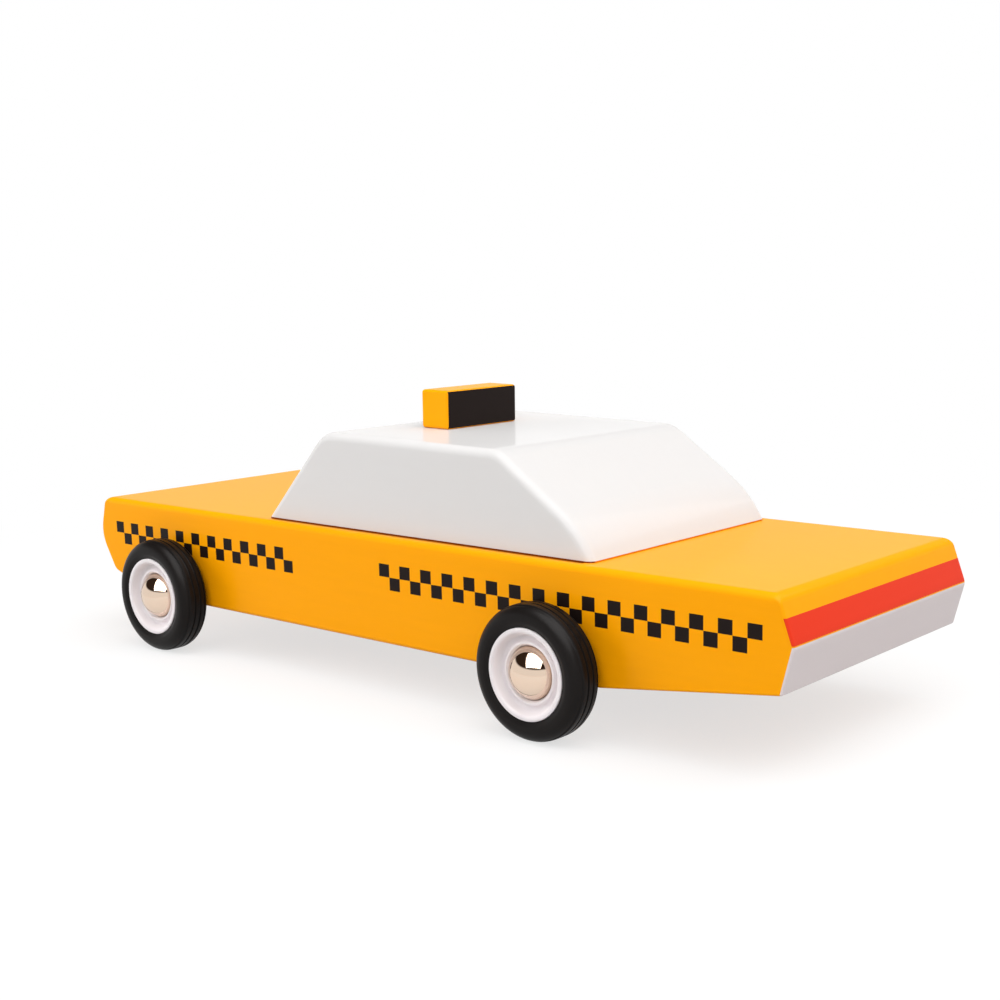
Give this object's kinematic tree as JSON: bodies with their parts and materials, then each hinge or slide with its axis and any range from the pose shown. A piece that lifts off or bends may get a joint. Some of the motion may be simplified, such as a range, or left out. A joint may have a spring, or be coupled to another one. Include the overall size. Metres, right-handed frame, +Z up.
{
  "type": "wooden toy taxi cab",
  "caption": "Small wooden toy saloon taxi: yellow body block, white cabin block, roof sign and rubber-tyred wheels that spin freely on steel axles.",
  "frame": {"origin": "on the floor under the middle of the body block", "axes": "+X towards the nose, +Y towards the car's left side, +Z up"},
  "size_m": [0.179, 0.0772, 0.0558],
  "materials": {
    "body_paint": "gloss clear lacquer over yellow paint on solid wood",
    "cabin_paint": "gloss clear lacquer over white paint on solid wood",
    "sign_paint": "gloss yellow paint with plain black faces",
    "axle_steel": "drawn steel rod",
    "tyre_rubber": "satin black rubber",
    "rim_plastic": "gloss white moulded plastic",
    "cap_nickel": "polished nickel plate"
  },
  "bodies": {
    "root": {"body_block": "body_paint", "cabin_block": "cabin_paint", "roof_sign": "sign_paint", "axle_front": "axle_steel", "axle_rear": "axle_steel", "axle_cap_front_left": "cap_nickel", "axle_cap_front_right": "cap_nickel", "axle_cap_rear_left": "cap_nickel", "axle_cap_rear_right": "cap_nickel"},
    "wheel_front_left": {"rim_front_left": "rim_plastic", "tyre_front_left": "tyre_rubber"},
    "wheel_front_right": {"rim_front_right": "rim_plastic", "tyre_front_right": "tyre_rubber"},
    "wheel_rear_left": {"rim_rear_left": "rim_plastic", "tyre_rear_left": "tyre_rubber"},
    "wheel_rear_right": {"rim_rear_right": "rim_plastic", "tyre_rear_right": "tyre_rubber"}
  },
  "joints": [
    {"name": "wheel_front_left_spin", "type": "hinge", "parent": "root", "child": "wheel_front_left", "pos_m": [0.06235, 0, 0.0119], "axis": [0, 1, 0], "continuous": true},
    {"name": "wheel_front_right_spin", "type": "hinge", "parent": "root", "child": "wheel_front_right", "pos_m": [0.06235, 0, 0.0119], "axis": [0, 1, 0], "continuous": true},
    {"name": "wheel_rear_left_spin", "type": "hinge", "parent": "root", "child": "wheel_rear_left", "pos_m": [-0.04205, 0, 0.0119], "axis": [0, 1, 0], "continuous": true},
    {"name": "wheel_rear_right_spin", "type": "hinge", "parent": "root", "child": "wheel_rear_right", "pos_m": [-0.04205, 0, 0.0119], "axis": [0, 1, 0], "continuous": true}
  ]
}
